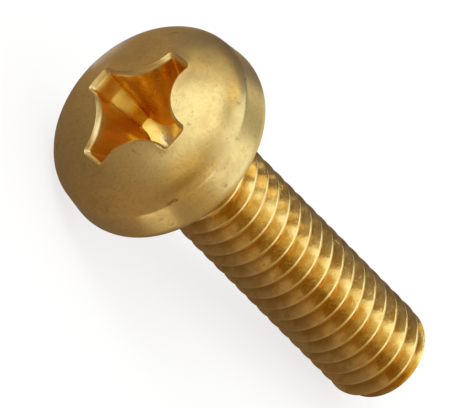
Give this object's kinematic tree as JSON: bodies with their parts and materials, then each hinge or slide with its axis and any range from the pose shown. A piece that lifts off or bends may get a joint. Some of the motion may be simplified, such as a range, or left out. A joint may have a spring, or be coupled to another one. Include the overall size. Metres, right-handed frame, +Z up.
{
  "type": "pan head machine screw",
  "caption": "Brass machine screw with a low domed pan head, a cross recess for a driver and a right-hand thread from the neck to a chamfered flat end.",
  "frame": {"origin": "on the surface that the screw lies on, under the middle of its box", "axes": "+X along the screw from its head to its threaded end, which dips by 7.3 degrees, +Z up, away from the surface that it lies on"},
  "size_m": [0.0298, 0.0126, 0.0125],
  "materials": {
    "brass": "satin"
  },
  "bodies": {
    "root": {"machine_screw": "brass"}
  },
  "joints": []
}
